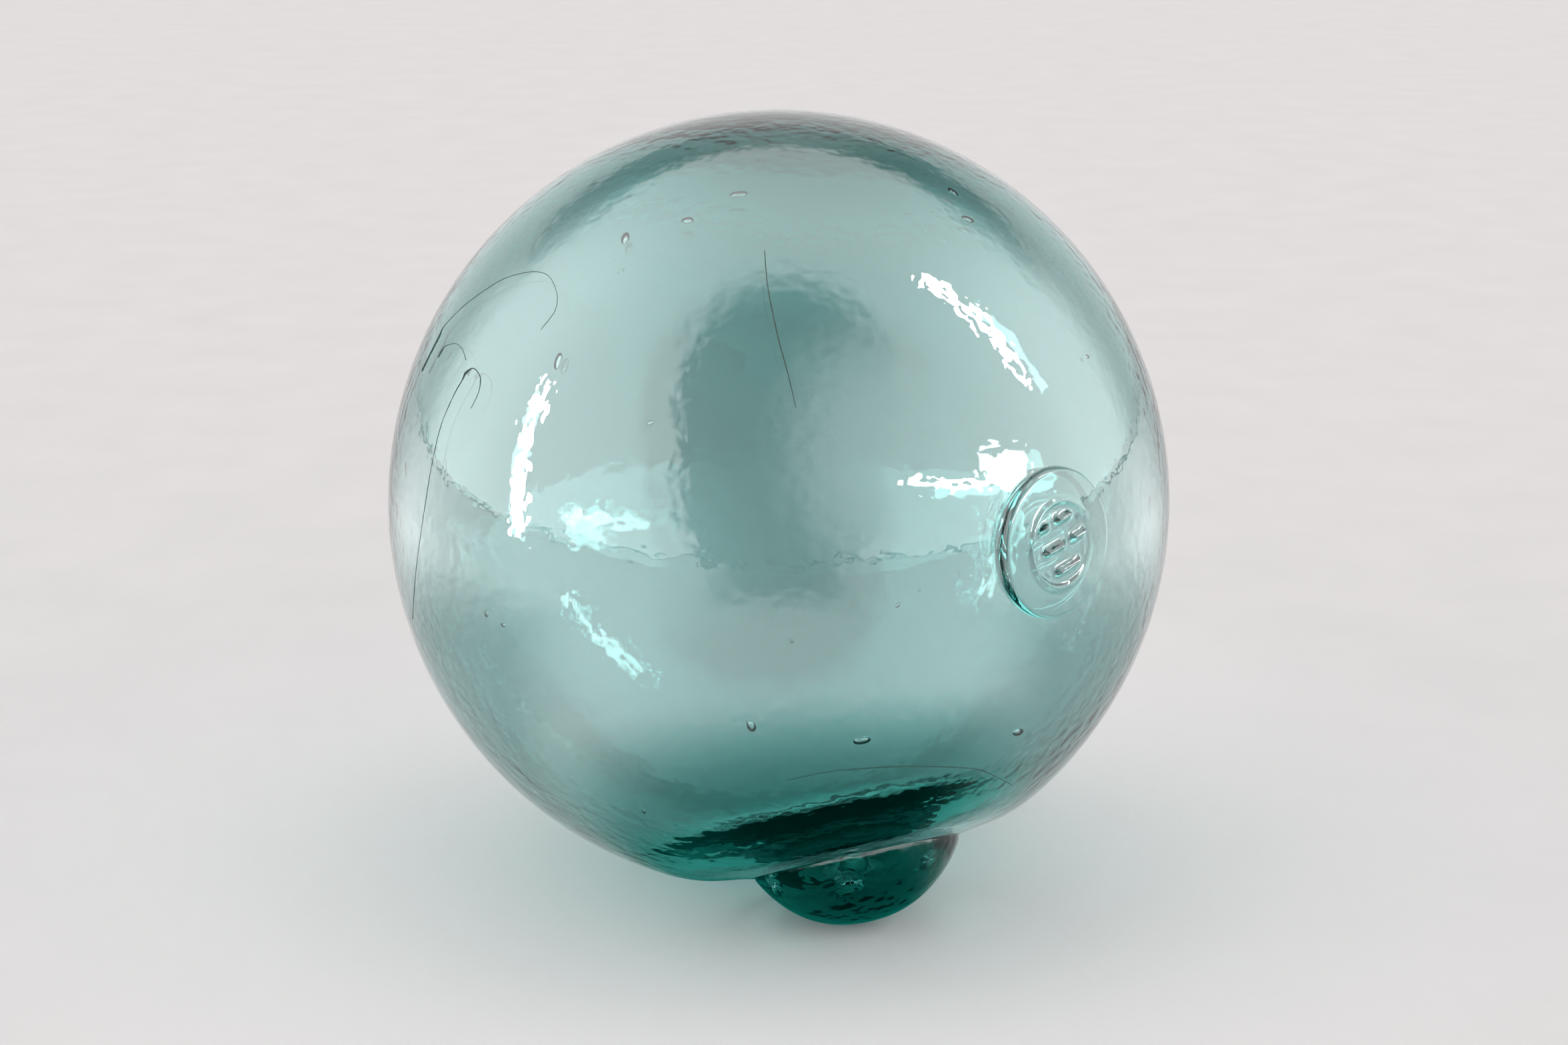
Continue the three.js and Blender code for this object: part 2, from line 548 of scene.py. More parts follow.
@dataclass
class Surface:
    """Points, faces and finish values that grow grid by grid into one mesh."""

    points: list[np.ndarray] = field(default_factory=list)
    faces: list[np.ndarray] = field(default_factory=list)
    marks: list[np.ndarray] = field(default_factory=list)
    count: int = 0

    def add_closed_grid(self, grid: np.ndarray, first: np.ndarray, last: np.ndarray, outside: bool,
                        marks: np.ndarray | None = None) -> None:
        """Adds a ball-like grid closed by a pole at each end.

        Args:
            grid: rings by columns by three.
            first: the pole before the first ring.
            last: the pole after the last ring.
            outside: True where the faces point away from the grid's middle, False where inwards.
            marks: the finish values of each point, rings by columns by two, or none for zeros.
        """
        rings, columns = grid.shape[:2]
        index = np.arange(rings * columns).reshape(rings, columns)
        beside = np.roll(index, -1, axis=1)
        pole_a = np.full(columns, rings * columns)
        pole_b = pole_a + 1
        quads = np.stack([index[:-1], beside[:-1], beside[1:], index[1:]], axis=-1).reshape(-1, 4)
        cap_a = np.stack([pole_a, beside[0], index[0]], axis=-1)
        cap_b = np.stack([pole_b, index[-1], beside[-1]], axis=-1)
        points = np.concatenate([grid.reshape(-1, 3), [first], [last]])
        halves = np.concatenate([quads[:, [0, 1, 2]], quads[:, [0, 2, 3]]])
        a, b, c = np.moveaxis(points[halves] - points.mean(axis=0), 1, 0)
        faces_out = np.sum(a * np.cross(b, c)) > 0
        way = 1 if faces_out == outside else -1
        values = np.zeros((rings * columns, len(Skin))) if marks is None else marks.reshape(-1, len(Skin))
        self.points.append(points)
        self.faces.extend(self.count + faces[:, ::way] for faces in (quads, cap_a, cap_b))
        self.marks.append(np.concatenate([values, values[:1], values[-1:]]))
        self.count += len(points)

    def build(self, name: str, attributes: tuple[str, ...] = ()) -> bpy.types.Object:
        """Makes the mesh object, smooth shaded.

        Args:
            name: the piece's name.
            attributes: names of the point attributes that keep the finish values, if any.

        Returns:
            The object, at the origin.
        """
        points = np.concatenate(self.points)
        sizes = np.concatenate([np.full(len(block), block.shape[1]) for block in self.faces])
        loops = np.concatenate([block.ravel() for block in self.faces])
        mesh = bpy.data.meshes.new(name)
        mesh.vertices.add(len(points))
        mesh.vertices.foreach_set("co", points.astype(np.float32).ravel())
        mesh.loops.add(len(loops))
        mesh.loops.foreach_set("vertex_index", loops.astype(np.int32))
        mesh.polygons.add(len(sizes))
        starts = np.concatenate([[0], np.cumsum(sizes)[:-1]])
        mesh.polygons.foreach_set("loop_start", starts.astype(np.int32))
        mesh.polygons.foreach_set("use_smooth", np.ones(len(sizes), bool))
        mesh.update(calc_edges=True)
        mesh.validate()
        marks = np.concatenate(self.marks)
        for column, attribute in enumerate(attributes):
            layer = mesh.attributes.new(attribute, "FLOAT", "POINT")
            layer.data.foreach_set("value", marks[:, column].astype(np.float32))
        made = bpy.data.objects.new(name, mesh)
        bpy.context.scene.collection.objects.link(made)
        return made


def srgb(code: str) -> tuple[float, float, float, float]:
    """An sRGB hex colour as linear red, green, blue and alpha one.

    Args:
        code: a hash sign and six hex digits.

    Returns:
        The four numbers.
    """
    parts = [int(code[i:i + 2], 16) / 255 for i in (1, 3, 5)]
    linear = [c / 12.92 if c <= 0.04045 else ((c + 0.055) / 1.055) ** 2.4 for c in parts]
    return (*linear, 1.0)


def bare_material(name: str) -> tuple[bpy.types.Material, bpy.types.NodeTree]:
    """Makes a material with an empty node tree.

    Args:
        name: the material's name.

    Returns:
        The material and its tree.
    """
    material = bpy.data.materials.new(name)
    material.use_nodes = True
    material.node_tree.nodes.clear()
    return material, material.node_tree


def add_node(tree: bpy.types.NodeTree, kind: str, settings: dict | None = None,
             inputs: dict | None = None) -> bpy.types.Node:
    """Adds a node.

    Args:
        tree: the node tree.
        kind: the node's type name.
        settings: values of the node's own properties.
        inputs: socket name or number to a plain value, or to an output socket to link.

    Returns:
        The new node.
    """
    node = tree.nodes.new(kind)
    for name, value in (settings or {}).items():
        setattr(node, name, value)
    for name, value in (inputs or {}).items():
        if isinstance(value, bpy.types.NodeSocket):
            tree.links.new(value, node.inputs[name])
        else:
            node.inputs[name].default_value = value
    return node


def span(value: bpy.types.NodeSocket, ends: tuple[float, float], low: float = 0.0,
         high: float | bpy.types.NodeSocket = 1.0) -> dict:
    """The inputs that carry a value from low at its first end to high at its last."""
    return {"Value": value, "From Min": ends[0], "From Max": ends[1], "To Min": low, "To Max": high}


def per_metre(length_mm: float) -> float:
    """The texture scale at which a pattern repeats about every so many millimetres."""
    return 1.0 / (length_mm * MM)


class Skin(Enum):
    """The finish values that each point of the glass carries, as columns of its marks."""

    WEAR = "wear"
    STREAKS = "streaks"


@dataclass(frozen=True)
class ClearGlass:
    """Soda-lime bottle glass, free-blown: see-through, teal where thick, with a fire-polished skin.

    Years of net and sand leave the outside faintly frosted in patches and pitted, and the gather
    of the button is streaky, so its skin has a slow grain of its own.
    """

    name: str = "soda_lime_glass"
    ior: float = 1.52
    depth_colour: str = "#a6d5d3"
    depth_density: float = 350.0
    polish: float = 0.012
    frosted: float = 0.11
    patch_pitch: float = 20.0
    patch_edges: tuple[float, float] = (0.42, 0.66)
    grain_pitch: float = 2.6
    grain_edges: tuple[float, float] = (0.45, 0.75)
    grain_height: float = 0.09
    streak_height: float = 0.3

    def build(self) -> bpy.types.Material:
        """Makes the material.

        Returns:
            The material, with plain transmission, IOR and depth colour.
        """
        material, tree = bare_material(self.name)
        place = add_node(tree, "ShaderNodeTexCoord").outputs["Object"]
        wear = add_node(tree, "ShaderNodeAttribute", {"attribute_name": Skin.WEAR.value}).outputs["Fac"]
        streaks = add_node(tree, "ShaderNodeAttribute", {"attribute_name": Skin.STREAKS.value}).outputs["Fac"]
        cloud = add_node(tree, "ShaderNodeTexNoise", None,
                         {"Vector": place, "Scale": per_metre(self.patch_pitch), "Detail": 2.0})
        patch = add_node(tree, "ShaderNodeMapRange", SMOOTH,
                         span(cloud.outputs["Fac"], self.patch_edges, 0.0, wear))
        grain = add_node(tree, "ShaderNodeTexNoise", None,
                         {"Vector": place, "Scale": per_metre(self.grain_pitch), "Detail": 1.4,
                          "Roughness": 0.5})
        speck = add_node(tree, "ShaderNodeMapRange", None,
                         span(grain.outputs["Fac"], self.grain_edges, 0.0, patch.outputs["Result"]))
        rough = add_node(tree, "ShaderNodeMapRange", None,
                         span(speck.outputs["Result"], (0.0, 1.0), self.polish, self.frosted))
        relief = add_node(tree, "ShaderNodeMapRange", None,
                          span(streaks, (0.0, 1.0), self.grain_height * MM, self.streak_height * MM))
        bump = add_node(tree, "ShaderNodeBump", None,
                        {"Height": grain.outputs["Fac"], "Strength": wear,
                         "Distance": relief.outputs["Result"]})
        shader = add_node(tree, "ShaderNodeBsdfPrincipled", None,
                          {"Base Color": srgb("#ffffff"), "Roughness": rough.outputs["Result"],
                           "IOR": self.ior, "Transmission Weight": 1.0, "Normal": bump.outputs["Normal"]})
        depth = add_node(tree, "ShaderNodeVolumeAbsorption", None,
                         {"Color": srgb(self.depth_colour), "Density": self.depth_density})
        add_node(tree, "ShaderNodeOutputMaterial", None,
                 {"Surface": shader.outputs["BSDF"], "Volume": depth.outputs["Volume"]})
        return material


@dataclass(frozen=True)
class ThreadGlass:
    """Dark threads of unmelted batch drawn out in the skin: dull grey-green, nearly opaque."""

    name: str = "stone_thread"
    dark: str = "#16211f"
    light: str = "#2a3835"
    roughness: float = 0.6
    ior: float = 1.52
    gloss: float = 0.1
    grain_pitch: float = 1.5

    def build(self) -> bpy.types.Material:
        """Makes the material.

        Returns:
            The material, mottled from dark to light.
        """
        material, tree = bare_material(self.name)
        place = add_node(tree, "ShaderNodeTexCoord").outputs["Object"]
        grain = add_node(tree, "ShaderNodeTexNoise", None,
                         {"Vector": place, "Scale": per_metre(self.grain_pitch), "Detail": 3.0})
        shade = add_node(tree, "ShaderNodeMix", {"data_type": "RGBA"},
                         {"Factor": grain.outputs["Fac"], 6: srgb(self.dark), 7: srgb(self.light)})
        shader = add_node(tree, "ShaderNodeBsdfPrincipled", None,
                          {"Base Color": shade.outputs[2], "Roughness": self.roughness,
                           "IOR": self.ior, "Specular IOR Level": self.gloss})
        add_node(tree, "ShaderNodeOutputMaterial", None, {"Surface": shader.outputs["BSDF"]})
        return material


@dataclass
class GlassBody:
    """The fused glass: its outer skin, its inner skin, and the seeds and bubbles of air in it.

    The streaks' blend at an edge is in radians. A seed's flatness, narrowness and stretch are
    factors of its radius, and its depth is a share of the wall.
    """

    form: FloatForm
    camera: CameraSetup
    grid: TwinPoleGrid = field(default_factory=TwinPoleGrid)
    inner_rings: int = 96
    inner_columns: int = 144
    streaks_end: tuple[float, float] = (18.0, 33.0)
    streaks_around: float = 0.55
    streaks_on_stamp: float = 0.3
    streaks_blend: tuple[float, float] = (-0.005, 0.01)
    seed_px: tuple = ((1126, 1096), (1295, 1118), (1531, 1103), (935, 352), (1029, 323), (1107, 282),
                      (1433, 282), (1456, 323), (833, 539))
    seed_radius: float = 0.85
    bubble_px: tuple = ((1288, 1322), (1284, 1360), (1372, 1314), (1194, 1346), (1340, 1296))
    bubble_radii: tuple = (2.3, 1.9, 0.9, 1.3, 0.6)
    stray_seeds: int = 34
    stray_radii: tuple[float, float] = (0.18, 0.42)
    seed_flatness: float = 0.5
    seed_narrowness: float = 0.8
    seed_stretch: tuple[float, float] = (1.0, 1.6)
    seed_depth: float = 0.42
    seed_rings: int = 6
    seed_columns: int = 10
    random_seed: int = 31

    def outer_skin(self, surface: Surface) -> None:
        """Adds the outside, with wear all over and streaks on the button, near it and on the stamp.

        Each point is the centre plus a direction of the grid times the outer distance.

        Args:
            surface: what it is added to.
        """
        form = self.form
        ways = self.grid.directions(form)
        outer = form.centre + ways * form.outer(ways)[..., None]
        from_button = angle_from(form.button_axis, ways)
        on_button = smooth_step(form.dome[2] - from_button, *self.streaks_blend)
        near_button = 1 - smooth_step(np.degrees(from_button), *self.streaks_end)
        stamp = form.disc.stamp_diameter / 2 * MM / form.radius
        on_stamp = smooth_step(stamp - angle_from(form.disc_axis, ways), 0.0, self.streaks_blend[1])
        streaks = np.maximum(on_button, self.streaks_around * near_button)
        streaks = np.maximum(streaks, self.streaks_on_stamp * on_stamp)
        marks = np.stack([np.ones_like(streaks), streaks], axis=-1)
        ends = np.stack([form.button_axis, form.disc_axis])
        tips = form.centre + ends * form.outer(ends)[:, None]
        surface.add_closed_grid(outer, tips[0], tips[1], True, marks)

    def inner_skin(self, surface: Surface) -> None:
        """Adds the inside, on rings about the button's axis, each point at the inner distance.

        Args:
            surface: what it is added to.
        """
        form = self.form
        tilt = np.linspace(0.0, math.pi, self.inner_rings + 2)[1:-1, None]
        turn = np.arange(self.inner_columns)[None] * math.tau / self.inner_columns
        ways = about(form.button_axis, *side_axes(form.button_axis), tilt, turn)
        inner = form.centre + ways * form.inner(ways)[..., None]
        ends = np.stack([form.button_axis, -form.button_axis])
        tips = form.centre + ends * form.inner(ends)[:, None]
        surface.add_closed_grid(inner, tips[0], tips[1], False)

    def seeds(self, surface: Surface) -> None:
        """Adds the seeds and bubbles: flattened ellipsoids of air, a share of the wall deep in it.

        Args:
            surface: what they are added to.
        """
        form = self.form
        draws = np.random.default_rng(self.random_seed)
        px = np.array(self.seed_px + self.bubble_px, float)
        shown = self.camera.on_ball(px, form.centre, form.radius)
        stray = unit(draws.normal(size=(self.stray_seeds, 3)))
        ways = np.concatenate([shown, stray])
        sizes = np.concatenate([np.full(len(self.seed_px), self.seed_radius), self.bubble_radii,
                                draws.uniform(*self.stray_radii, self.stray_seeds)]) * MM
        depths = form.bare_ball(ways) - self.seed_depth * form.wall.thickness(ways, form.button_axis)
        tilt = np.linspace(0.0, math.pi, self.seed_rings + 2)[1:-1, None]
        turn = np.arange(self.seed_columns)[None] * math.tau / self.seed_columns
        for way, size, depth in zip(ways, sizes, depths):
            right, up = side_axes(way)
            spin = draws.uniform(0, math.pi)
            long_way = math.cos(spin) * right + math.sin(spin) * up
            short_way = np.cross(way, long_way) * self.seed_narrowness
            stretch = draws.uniform(*self.seed_stretch)
            ball = about(way * self.seed_flatness, long_way * stretch, short_way, tilt, turn)
            spot = form.centre + way * depth
            tip = way * self.seed_flatness * size
            surface.add_closed_grid(spot + ball * size, spot + tip, spot - tip, False)

    def build(self, glass: bpy.types.Material) -> bpy.types.Object:
        """Makes the fused glass body.

        Args:
            glass: the material.

        Returns:
            The object, riding on the root body in place of the three solids.
        """
        surface = Surface()
        self.outer_skin(surface)
        self.inner_skin(surface)
        self.seeds(surface)
        body = surface.build("float_glass", tuple(skin.value for skin in Skin))
        body.data.materials.append(glass)
        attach(body, "root")
        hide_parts("ball", "seal_button", "stamped_disc")
        return body


@dataclass
class Threads:
    """Fine dark threads and short stones in the ball's skin, laid where the photograph shows them."""

    form: FloatForm
    camera: CameraSetup
    sides: int = 6
    steps: int = 12
    sunk: float = 0.3
    tip_length: float = 2.0
    paths: tuple = (
        ((633, 554), (645, 529), (658, 504), (666, 488), (693, 460), (726, 435), (759, 416), (799, 407),
         (823, 414), (835, 440), (832, 466), (811, 494)),
        ((617, 929), (622, 860), (633, 780), (646, 700), (660, 640), (679, 594), (693, 569), (698, 559),
         (709, 552), (718, 561), (720, 571), (717, 589), (706, 612)),
        ((657, 534), (662, 525), (668, 518), (683, 515), (693, 524), (698, 539)),
        ((1147, 376), (1152, 430), (1166, 500), (1182, 560), (1194, 611)),
        ((1180, 1172), (1245, 1159), (1300, 1154), (1362, 1151), (1442, 1153), (1478, 1159), (1520, 1180)),
    )
    widths: tuple = (
        (0.45, 0.3, 0.42, 0.14, 0.1, 0.1, 0.1, 0.12, 0.1, 0.1, 0.1, 0.1),
        (0.1, 0.1, 0.1, 0.1, 0.12, 0.12, 0.2, 0.5, 0.16, 0.18, 0.16, 0.12, 0.1),
        (0.24, 0.3, 0.12, 0.1, 0.1, 0.1),
        (0.12, 0.16, 0.2, 0.16, 0.1),
        (0.08, 0.12, 0.14, 0.16, 0.16, 0.14, 0.08),
    )

    def tube(self, surface: Surface, path_px: tuple, widths: tuple) -> None:
        """Adds one thread.

        Its path is a Catmull-Rom curve through the pixels, laid on the ball's skin, and its section
        is a circle of the width found between the given ones, closed to a point at both ends.

        Args:
            surface: what it is added to.
            path_px: the pixels that it passes through.
            widths: its width at each of them.
        """
        px = np.array(path_px, float)
        knots = np.concatenate([[2 * px[0] - px[1]], px, [2 * px[-1] - px[-2]]])
        t = np.linspace(0.0, 1.0, self.steps, endpoint=False)[:, None]
        p0, p1, p2, p3 = (knots[i:len(knots) - 3 + i, None] for i in range(4))
        curve = 0.5 * (2 * p1 + (p2 - p0) * t + (2 * p0 - 5 * p1 + 4 * p2 - p3) * t ** 2
                       + (3 * p1 - p0 - 3 * p2 + p3) * t ** 3)
        curve = np.concatenate([curve.reshape(-1, 2), px[-1:]])
        share = np.linspace(0.0, len(px) - 1, len(curve))
        half = np.interp(share, np.arange(len(px)), widths) / 2 * MM
        ways = self.camera.on_ball(curve, self.form.centre, self.form.radius)
        spine = self.form.centre + ways * (self.form.outer(ways) - self.sunk * half)[:, None]
        heading = unit(np.gradient(spine, axis=0))
        side = unit(np.cross(ways, heading))
        turn = (np.arange(self.sides) * math.tau / self.sides)[None, :, None]
        ring = np.cos(turn) * side[:, None] + np.sin(turn) * ways[:, None]
        grid = spine[:, None] + ring * half[:, None, None]
        tips = heading * half[:, None] * self.tip_length
        surface.add_closed_grid(grid, spine[0] - tips[0], spine[-1] + tips[-1], True)

    def build(self, finish: bpy.types.Material) -> bpy.types.Object:
        """Makes the threads as one piece.

        Args:
            finish: the material.

        Returns:
            The object, riding on the root body.
        """
        surface = Surface()
        for path, widths in zip(self.paths, self.widths):
            self.tube(surface, path, widths)
        threads = surface.build("glass_threads")
        threads.data.materials.append(finish)
        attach(threads, "root")
        return threads


@dataclass(frozen=True)
class MattCard:
    """Uncoated matt card: it scatters light evenly, with a faint cloudy grain; near the float it is painted
    paler, a painted light that lifts the float's shade.
    """

    name: str = "matt_card"
    dark: str = "#807e7e"
    light: str = "#868383"
    # Painted light: the paler colour that the card takes near the float, to lift the float's shade.
    near: str = "#8b8888"
    painted_light_reach: tuple[float, float] = (0.18, 0.05)
    grain_pitch: float = 25.0

    def build(self) -> bpy.types.Material:
        """Makes the material.

        Returns:
            The material of the floor.
        """
        material, tree = bare_material(self.name)
        place = add_node(tree, "ShaderNodeTexCoord").outputs["Object"]
        grain = add_node(tree, "ShaderNodeTexNoise", None,
                         {"Vector": place, "Scale": per_metre(self.grain_pitch), "Detail": 2.0})
        cloudy = add_node(tree, "ShaderNodeMix", {"data_type": "RGBA"},
                          {"Factor": grain.outputs["Fac"], 6: srgb(self.dark), 7: srgb(self.light)})
        reach = add_node(tree, "ShaderNodeVectorMath", {"operation": "LENGTH"}, {0: place})
        # Painted light: the card turns paler towards the float, against the float's shade.
        painted_light_share = add_node(tree, "ShaderNodeMapRange", SMOOTH, span(reach.outputs["Value"], self.painted_light_reach))
        shade = add_node(tree, "ShaderNodeMix", {"data_type": "RGBA"},
                         {"Factor": painted_light_share.outputs[0], 6: cloudy.outputs[2], 7: srgb(self.near)})
        shader = add_node(tree, "ShaderNodeBsdfDiffuse", None, {"Color": shade.outputs[2]})
        add_node(tree, "ShaderNodeOutputMaterial", None, {"Surface": shader.outputs["BSDF"]})
        return material


@dataclass(frozen=True)
class LitTabletop:
    """The lit table that the skin of the glass mirrors, painted as a glowing sheet of light and shade.

    It is a dark painted shade around the button's contact, tinted teal as the button's own light
    would tint it, a dim painted shadow of the float, painted light further out, and clear where it
    ends. A pair of values is where a smooth step starts and where it ends.
    """

    name: str = "lit_tabletop"
    contact_shade: float = 0.3
    contact_shade_colour: str = "#0fa898"
    contact_shade_reach: tuple[float, float] = (0.034, 0.09)
    dim: float = 1.2
    bright: float = 3.4
    shadow: tuple[float, float] = (0.6, 0.17)
    shadow_aside: tuple[float, float] = (0.1, 0.44)
    edge: tuple[float, float] = (2.9, 1.8)
    front_edge: tuple[float, float] = (-0.25, -0.8)
    back_edge: tuple[float, float] = (0.84, 0.42)
    back_reach: tuple[float, float] = (0.12, 0.3)

    def build(self) -> bpy.types.Material:
        """Makes the material.

        The shadow is a step of the distance from the float, and ends sooner to its sides, by a step
        of the sideways share of that distance. Close to the float the table shows only in front of
        it, and further out all round but behind it, by steps of the backwards share.

        Returns:
            The material, which gives light and takes none.
        """
        material, tree = bare_material(self.name)
        place = add_node(tree, "ShaderNodeTexCoord").outputs["Object"]
        reach = add_node(tree, "ShaderNodeVectorMath", {"operation": "LENGTH"}, {0: place}).outputs["Value"]
        from_button = add_node(tree, "ShaderNodeVectorMath", {"operation": "DISTANCE"},
                               {0: place, 1: UNDER_BUTTON}).outputs["Value"]
        parts = add_node(tree, "ShaderNodeSeparateXYZ", None, {"Vector": place}).outputs
        across = add_node(tree, "ShaderNodeMath", {"operation": "ABSOLUTE"}, {0: parts["X"]})
        aside = add_node(tree, "ShaderNodeMath", {"operation": "DIVIDE"}, {0: across.outputs[0], 1: reach})
        past_shadow = add_node(tree, "ShaderNodeMapRange", SMOOTH, span(reach, self.shadow))
        beside_shadow = add_node(tree, "ShaderNodeMapRange", SMOOTH,
                                 span(aside.outputs[0], self.shadow_aside))
        lit = add_node(tree, "ShaderNodeMath", {"operation": "MAXIMUM"},
                       {0: past_shadow.outputs[0], 1: beside_shadow.outputs[0]})
        table = add_node(tree, "ShaderNodeMapRange", SMOOTH,
                         span(lit.outputs[0], (0.0, 1.0), self.dim, self.bright))
        # Painted shade: dark around the button's contact, tinted teal as the button's own light would tint
        # it.
        away = add_node(tree, "ShaderNodeMapRange", SMOOTH, span(from_button, self.contact_shade_reach)).outputs[0]
        level = add_node(tree, "ShaderNodeMix", {"data_type": "FLOAT"},
                         {0: away, 2: self.contact_shade, 3: table.outputs[0]})
        colour = add_node(tree, "ShaderNodeMix", {"data_type": "RGBA"},
                          {0: away, 6: srgb(self.contact_shade_colour), 7: srgb("#ffffff")})
        behind = add_node(tree, "ShaderNodeMath", {"operation": "DIVIDE"},
                          {0: parts["Y"], 1: reach}).outputs[0]
        far_enough = add_node(tree, "ShaderNodeMapRange", SMOOTH, span(reach, self.back_reach))
        not_behind = add_node(tree, "ShaderNodeMapRange", SMOOTH, span(behind, self.back_edge))
        wide = add_node(tree, "ShaderNodeMath", {"operation": "MULTIPLY"},
                        {0: far_enough.outputs[0], 1: not_behind.outputs[0]})
        in_front = add_node(tree, "ShaderNodeMapRange", SMOOTH, span(behind, self.front_edge))
        there = add_node(tree, "ShaderNodeMath", {"operation": "MAXIMUM"},
                         {0: wide.outputs[0], 1: in_front.outputs[0]})
        within = add_node(tree, "ShaderNodeMapRange", SMOOTH, span(reach, self.edge))
        cover = add_node(tree, "ShaderNodeMath", {"operation": "MULTIPLY"},
                         {0: within.outputs[0], 1: there.outputs[0]})
        glow = add_node(tree, "ShaderNodeEmission", None,
                        {"Color": colour.outputs[2], "Strength": level.outputs[0]})
        clear = add_node(tree, "ShaderNodeBsdfTransparent")
        mixed = add_node(tree, "ShaderNodeMixShader", None,
                         {0: cover.outputs[0], 1: clear.outputs[0], 2: glow.outputs[0]})
        add_node(tree, "ShaderNodeOutputMaterial", None, {"Surface": mixed.outputs[0]})
        return material


@dataclass(frozen=True)
class GreyGauze:
    """A gauze that dims the floor seen through the glass, as the float's own soft shade would.

    In its middle it glows with the teal light that the button gathers on the floor.
    """

    name: str = "grey_gauze"
    reach: tuple[float, float] = (0.7, 0.25)
    share: float = 0.82
    glow_reach: tuple[float, float] = (0.05, 0.022)
    glow_colour: str = "#7fd0c6"
    glow: float = 1.5

    def build(self) -> bpy.types.Material:
        """Makes the material.

        Returns:
            The material, clear at its edge.
        """
        material, tree = bare_material(self.name)
        place = add_node(tree, "ShaderNodeTexCoord").outputs["Object"]
        reach = add_node(tree, "ShaderNodeVectorMath", {"operation": "LENGTH"}, {0: place})
        level = add_node(tree, "ShaderNodeMapRange", SMOOTH,
                         span(reach.outputs["Value"], self.reach, 1.0, self.share)).outputs[0]
        grey = add_node(tree, "ShaderNodeCombineColor", None, {0: level, 1: level, 2: level})
        gauze = add_node(tree, "ShaderNodeBsdfTransparent", None, {"Color": grey.outputs[0]})
        from_button = add_node(tree, "ShaderNodeVectorMath", {"operation": "DISTANCE"},
                               {0: place, 1: UNDER_BUTTON})
        middle = add_node(tree, "ShaderNodeMapRange", SMOOTH,
                          span(from_button.outputs["Value"], self.glow_reach))
        glow = add_node(tree, "ShaderNodeEmission", None,
                        {"Color": srgb(self.glow_colour), "Strength": self.glow})
        mixed = add_node(tree, "ShaderNodeMixShader", None,
                         {0: middle.outputs[0], 1: gauze.outputs[0], 2: glow.outputs[0]})
        add_node(tree, "ShaderNodeOutputMaterial", None, {"Surface": mixed.outputs[0]})
        return material


@dataclass(frozen=True)
class SkyLobe:
    """Light added to a soft part of the room: all within one angle of its axis, none beyond another."""

    turn: float
    rise: float
    inner: float
    outer: float
    radiance: float

    def build(self, tree: bpy.types.NodeTree, way: bpy.types.NodeSocket) -> bpy.types.NodeSocket:
        """Adds the lobe: a smooth step of the cosine between a direction and the lobe's axis.

        Args:
            tree: the room's node tree.
            way: the direction looked in.

        Returns:
            The radiance to add there.
        """
        facing = add_node(tree, "ShaderNodeVectorMath", {"operation": "DOT_PRODUCT"},
                          {0: way, 1: tuple(outward(self.turn, self.rise))})
        ends = (math.cos(math.radians(self.outer)), math.cos(math.radians(self.inner)))
        return add_node(tree, "ShaderNodeMapRange", SMOOTH,
                        span(facing.outputs["Value"], ends, 0.0, self.radiance)).outputs[0]


